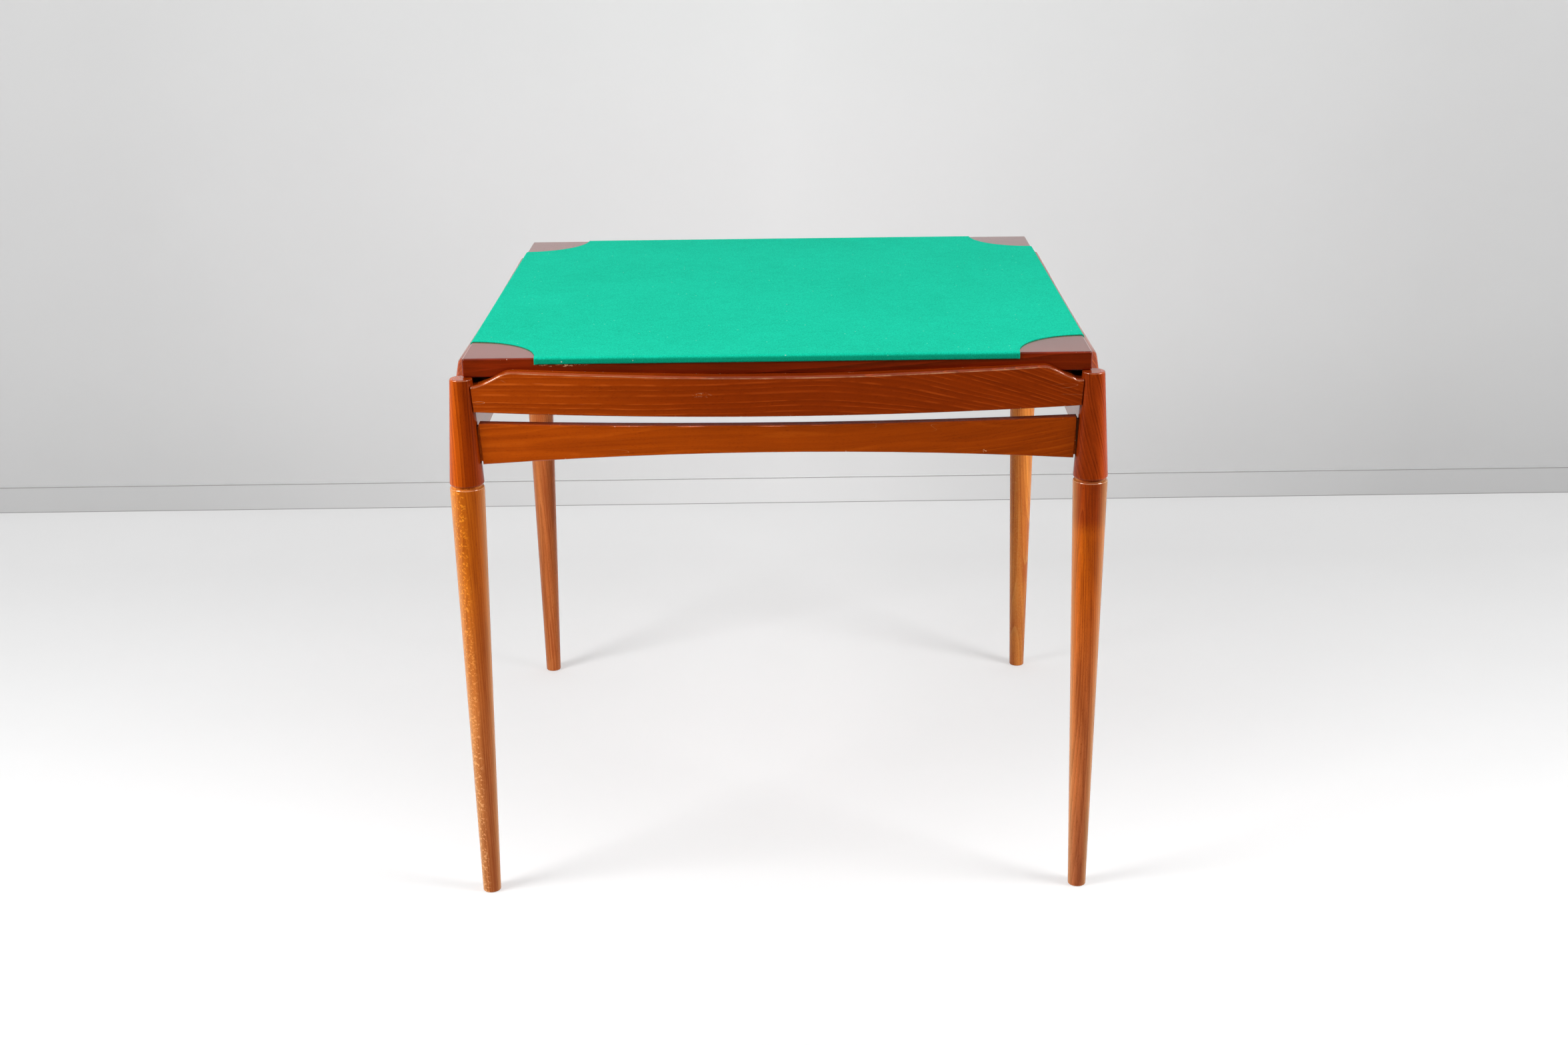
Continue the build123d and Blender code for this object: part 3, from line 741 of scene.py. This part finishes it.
# Painted shade: the margin hanging below the top is darkened.
hanging_shade = ramp(tree, part_of(tree, place, "Z"), BOARD_TOP + 0.9 * MM, BOARD_TOP - 3 * MM)
green = blend_colours(tree, hanging_shade, green, HANGING_SHADE, "MULTIPLY")
lint_place = scaled(tree, place, (75.0, 150.0, 75.0))
lint_cells = add_node(tree, "ShaderNodeTexVoronoi", {"Vector": lint_place, "Scale": 1.0})
lint_size = ramp(tree, lint_cells.outputs["Distance"], 0.09, 0.05)
lint_pick = add_node(tree, "ShaderNodeSeparateColor", {0: lint_cells.outputs["Color"]}).outputs[0]
lint = sum_of(tree, "MULTIPLY", lint_size, sum_of(tree, "GREATER_THAN", lint_pick, 0.86))
linted = blend_colours(tree, sum_of(tree, "MULTIPLY", lint, 0.55), green, LINT)
tree.links.new(linted, shader.inputs["Base Color"])
shader.inputs["Roughness"].default_value = 0.95
shader.inputs["Specular IOR Level"].default_value = 0.05
shader.inputs["Sheen Weight"].default_value = 0.06
shader.inputs["Sheen Roughness"].default_value = 0.4
shader.inputs["Sheen Tint"].default_value = SHEEN_TINT
fuzz = add_node(tree, "ShaderNodeBump", {"Strength": 0.5, "Distance": 0.4 * MM, "Height": shade})
tree.links.new(fuzz.outputs[0], shader.inputs["Normal"])
baize.data.materials.append(baize_finish)

# %% [markdown]
# ## Leg screws
# A steel stud glued into each lower leg screws up into a brass sleeve in the head. Its thread is a real
# helix: one tooth's outline is spun round the stud while it climbs one pitch a turn, and neighbouring
# turns meet root to root. The ends are then cut square and closed.

# %% Turn the threads
THREAD_PITCH = 1.5 * MM
THREAD_DEPTH = 0.8 * MM
CREST_START, CREST_END = 0.45, 0.55
STEPS_PER_TURN = 24
stud_low, stud_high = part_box("leg_stud_front_left")
stud_radius = (stud_high.x - stud_low.x) / 2
stud_length = stud_high.z - stud_low.z


def threaded_stud(corner):
    """A threaded stud in place of the plain CAD one."""
    low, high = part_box("leg_stud_" + corner)
    axis = Vector(((low.x + high.x) / 2, (low.y + high.y) / 2, 0.0))
    turn_count = math.ceil(stud_length / THREAD_PITCH) + 2
    work = bmesh.new()
    root = stud_radius - THREAD_DEPTH
    start = low.z - THREAD_PITCH
    outline = [(root, 0.0), (stud_radius, CREST_START), (stud_radius, CREST_END), (root, 1.0)]
    points = [work.verts.new(axis + Vector((radius, 0.0, start + rise * THREAD_PITCH)))
              for radius, rise in outline]
    lines = [work.edges.new(pair) for pair in zip(points, points[1:])]
    steps = STEPS_PER_TURN * turn_count
    bmesh.ops.spin(work, geom=points + lines, cent=axis, axis=(0, 0, 1), angle=math.tau * turn_count,
                   steps=steps, dvec=(0, 0, THREAD_PITCH / STEPS_PER_TURN))
    bmesh.ops.remove_doubles(work, verts=work.verts, dist=0.01 * MM)
    for level, outward in ((low.z, -1), (high.z, 1)):
        everything = work.verts[:] + work.edges[:] + work.faces[:]
        bmesh.ops.bisect_plane(work, geom=everything, plane_co=(0, 0, level),
                               plane_no=(0, 0, outward), clear_outer=True)
    rims = [line for line in work.edges if line.is_boundary]
    bmesh.ops.holes_fill(work, edges=rims, sides=0)
    return make_object("thread_" + corner, work)


def tarnished_metal(name, clean, tarnished, patchiness):
    """A metal with small patches of tarnish, which are darker and duller."""
    material, tree, shader = new_material(name)
    place = add_node(tree, "ShaderNodeTexCoord").outputs["Object"]
    tarnish = ramp(tree, noise(tree, place, patchiness, 3.0, 0.6), 0.4, 0.7)
    colour = blend_colours(tree, tarnish, (*clean, 1.0), (*tarnished, 1.0))
    tree.links.new(colour, shader.inputs["Base Color"])
    tree.links.new(sum_of(tree, "MULTIPLY_ADD", tarnish, 0.25, 0.25), shader.inputs["Roughness"])
    shader.inputs["Metallic"].default_value = 1.0
    return material


steel = tarnished_metal("screw_steel", (0.58, 0.57, 0.55), (0.36, 0.33, 0.29), 240.0)
brass = tarnished_metal("sleeve_brass", (0.80, 0.55, 0.20), (0.48, 0.28, 0.10), 180.0)

for corner in CORNERS:
    stud = threaded_stud(corner)
    stud.data.materials.append(steel)
    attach(stud, "stud_" + corner)
    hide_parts("leg_stud_" + corner)
    finish_node("leg_insert_" + corner, brass)

# %% [markdown]
# ## Studio
# The table stands on a pale floor in front of a pale grey wall with a painted skirting board. These
# paints are lifted towards white only for camera, mirror and see-through rays. The extra lift in one
# strip of each, less to either side of it, is a painted pool of light. So the stage looks pale and plain
# and still takes the table's shadow, while the table is lit as by duller paint. Thin dark strips along
# the top and the foot of the skirting are painted shadow lines. From behind, the wall and its skirting
# are see-through.

# %% Floor, wall and skirting
WALL_DISTANCE = 1.39
WALL_TURN = math.radians(0.3)
WALL_HEIGHT = 4.5
STAGE_HALF = 9.0
SKIRTING_HEIGHT = 0.058
SKIRTING_THICKNESS = 0.012


def stage_finish(name, colour, seen_share=1.0, lift=0.0, painted_light_strip=("X", 0.0, 1.3, 0.0), one_sided=False):
    """A matt paint that camera and mirror rays see lighter. A one-sided one is see-through from behind.

    The strip is given as an axis, the middle of the palest strip on it, how far that strip fades, and by
    how much more it is lifted there, as a painted pool of light."""
    material, tree, shader = new_material(name)
    place = add_node(tree, "ShaderNodeTexCoord").outputs["Object"]
    brushed = ramp(tree, noise(tree, place, 3.0, 4.0, 0.6), 0.3, 0.7, 0.985, 1.0)
    tinted = add_node(tree, "ShaderNodeVectorMath", {0: colour, "Scale": brushed}, operation="SCALE")
    shader.inputs["Roughness"].default_value = 0.9
    shader.inputs["Specular IOR Level"].default_value = 0.1
    rays = add_node(tree, "ShaderNodeLightPath")
    seen = sum_of(tree, "MAXIMUM", rays.outputs["Is Camera Ray"], rays.outputs["Is Glossy Ray"])
    seen = sum_of(tree, "MAXIMUM", seen, rays.outputs["Is Transmission Ray"])
    seen_tint = (seen_share, seen_share, seen_share, 1.0)
    paint = blend_colours(tree, seen, tinted.outputs[0], seen_tint, "MULTIPLY")
    tree.links.new(paint, shader.inputs["Base Color"])
    # Painted light: the extra lift in the strip is a painted pool of light.
    axis, middle, fade, extra = painted_light_strip
    aside = sum_of(tree, "SUBTRACT", part_of(tree, place, axis), middle)
    lifted = ramp(tree, sum_of(tree, "ABSOLUTE", aside), fade, 0.0, lift, lift + extra, "LINEAR")
    glow = sum_of(tree, "MULTIPLY", lifted, seen)
    tree.links.new(glow, shader.inputs["Emission Color"])
    shader.inputs["Emission Strength"].default_value = 1.0
    if one_sided:
        behind = add_node(tree, "ShaderNodeNewGeometry").outputs["Backfacing"]
        clear = add_node(tree, "ShaderNodeBsdfTransparent").outputs[0]
        either = add_node(tree, "ShaderNodeMixShader", {0: behind, 1: shader.outputs[0], 2: clear})
        tree.links.new(either.outputs[0], tree.nodes["Material Output"].inputs["Surface"])
    return material


def stage_sheet(name, points, material):
    """One face for the stage, which looks the way its points turn."""
    work = bmesh.new()
    work.faces.new([work.verts.new(point) for point in points])
    mesh = bpy.data.meshes.new(name)
    work.to_mesh(mesh)
    work.free()
    sheet = bpy.data.objects.new(name, mesh)
    bpy.context.scene.collection.objects.link(sheet)
    sheet.data.materials.append(material)
    return sheet


def along_wall(sideways, forward, height):
    """A point of the wall: sideways along it, forward of it, and up."""
    flat = Matrix.Rotation(WALL_TURN, 2) @ Vector((sideways, -forward))
    return (flat.x, WALL_DISTANCE + flat.y, height)


def upright_strip(forward, low, high):
    """The corners of a strip of the wall between two heights, or of a strip that far in front of it."""
    return [along_wall(-STAGE_HALF, forward, low), along_wall(STAGE_HALF, forward, low),
            along_wall(STAGE_HALF, forward, high), along_wall(-STAGE_HALF, forward, high)]


floor_finish = stage_finish("floor_paint", (0.62, 0.62, 0.62), 0.78, 0.350, ("Y", -0.5, 1.5, 0.155))
wall_finish = stage_finish("wall_paint", (0.70, 0.70, 0.70), 0.80, 0.095, ("X", 0.0, 1.4, 0.15),
                           one_sided=True)
skirting_finish = stage_finish("skirting_paint", (0.66, 0.66, 0.66), 0.80, 0.105,
                               ("X", 0.0, 1.4, 0.20), one_sided=True)
# Painted shadow: thin dark strips along the top and the foot of the skirting.
shadow_finish = stage_finish("skirting_shadow_line", (0.35, 0.34, 0.33), one_sided=True)
floor_corners = [(-STAGE_HALF, -STAGE_HALF, 0), (STAGE_HALF, -STAGE_HALF, 0),
                 (STAGE_HALF, STAGE_HALF, 0), (-STAGE_HALF, STAGE_HALF, 0)]
ledge_corners = [along_wall(-STAGE_HALF, SKIRTING_THICKNESS, SKIRTING_HEIGHT),
                 along_wall(STAGE_HALF, SKIRTING_THICKNESS, SKIRTING_HEIGHT),
                 along_wall(STAGE_HALF, 0, SKIRTING_HEIGHT), along_wall(-STAGE_HALF, 0, SKIRTING_HEIGHT)]
floor = stage_sheet("floor", floor_corners, floor_finish)
wall = stage_sheet("wall", upright_strip(0, 0, WALL_HEIGHT), wall_finish)
skirting = stage_sheet("skirting", upright_strip(SKIRTING_THICKNESS, 0, SKIRTING_HEIGHT), skirting_finish)
ledge = stage_sheet("skirting_ledge", ledge_corners, skirting_finish)
for name, low, high in (("shadow_line_above_skirting", SKIRTING_HEIGHT - 1.0 * MM, SKIRTING_HEIGHT + 0.6 * MM),
                        ("shadow_line_at_floor", 0.0, 1.4 * MM)):
    corners = upright_strip(SKIRTING_THICKNESS + 0.2 * MM, low, high)
    stage_sheet(name, corners, shadow_finish)

# %% [markdown]
# ## Lamps
# Two round lamps hang about two metres up at the front left and right, which is where the crossed leg
# shadows on the floor point back to. They do most of the work, and a wide soft one overhead fills in.
# The world gives little light, and only the camera sees it paler.

# %% Lamps and world
WORLD_LIGHT = 0.13
WORLD_SEEN = 0.8


def soft_lamp(name, place, aim, width, watts, shape):
    """An area lamp aimed at a point. It shows in the lacquer, but not to the camera."""
    data = bpy.data.lights.new(name, "AREA")
    data.shape = shape
    data.size = width
    data.energy = watts
    lamp = bpy.data.objects.new(name, data)
    bpy.context.scene.collection.objects.link(lamp)
    lamp.location = place
    lamp.rotation_euler = (Vector(aim) - Vector(place)).to_track_quat("-Z", "Y").to_euler()
    lamp.visible_camera = False
    return lamp


soft_lamp("lamp_left", (-2.3, -1.35, 2.1), (0, 0, 0.6), 1.3, 77, "DISK")
soft_lamp("lamp_right", (2.4, -1.15, 2.1), (0, 0, 0.6), 1.3, 64, "DISK")
soft_lamp("lamp_above", (0, -0.8, 3.6), (0, -0.3, 0), 4.5, 24, "SQUARE")
world = bpy.data.worlds.new("studio")
world.use_nodes = True
background = world.node_tree.nodes["Background"]
background.inputs["Color"].default_value = (0.97, 0.98, 1.0, 1.0)
looked_at = add_node(world.node_tree, "ShaderNodeLightPath").outputs["Is Camera Ray"]
strength = ramp(world.node_tree, looked_at, 0.0, 1.0, WORLD_LIGHT, WORLD_SEEN, "LINEAR")
world.node_tree.links.new(strength, background.inputs["Strength"])
bpy.context.scene.world = world
